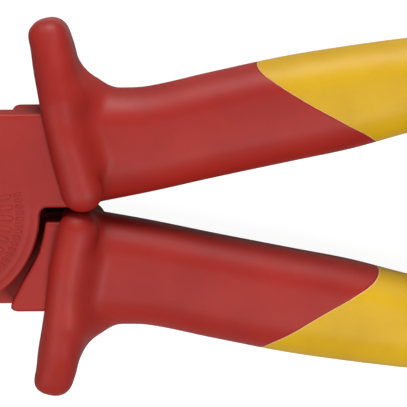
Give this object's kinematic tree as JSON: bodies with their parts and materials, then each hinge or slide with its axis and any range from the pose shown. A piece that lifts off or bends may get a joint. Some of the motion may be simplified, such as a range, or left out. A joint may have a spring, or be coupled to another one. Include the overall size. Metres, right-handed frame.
{
  "type": "insulated diagonal cutting pliers",
  "caption": "Insulated diagonal cutting pliers with a riveted lap joint, red sleeves with finger guards and yellow grips.",
  "frame": {"origin": "on the pivot axis, at the flat rear face of the joint", "axes": "+X along the tool towards the handle ends, +Y across it towards the upper handle, +Z out of the front face"},
  "size_m": [0.161, 0.0586, 0.0204],
  "materials": {
    "tool_steel": "ground and polished",
    "rivet_steel": "turned",
    "red_insulation": "satin moulded",
    "red_sleeve": "satin moulded",
    "yellow_grip": "satin moulded",
    "signal_layer": "matte"
  },
  "bodies": {
    "upper_half": {"upper_lever": "tool_steel", "pivot_rivet": "rivet_steel", "front_washer": "rivet_steel", "rear_washer": "rivet_steel", "front_pivot_cap": "red_insulation", "upper_joint_cover": "red_insulation", "upper_shoulder_cover": "red_insulation", "upper_jaw_cover": "red_insulation", "upper_signal_layer": "signal_layer", "upper_sleeve": "red_sleeve", "upper_grip": "yellow_grip"},
    "lower_half": {"lower_lever": "tool_steel", "rear_pivot_cap": "red_insulation", "lower_joint_cover": "red_insulation", "lower_shoulder_cover": "red_insulation", "lower_jaw_cover": "red_insulation", "lower_signal_layer": "signal_layer", "lower_sleeve": "red_sleeve", "lower_grip": "yellow_grip"}
  },
  "joints": [
    {"name": "jaw_pivot", "type": "hinge", "parent": "upper_half", "child": "lower_half", "pos_m": [0, 0, 0.0072], "axis": [0, 0, -1], "range_deg": [0, 30]}
  ]
}
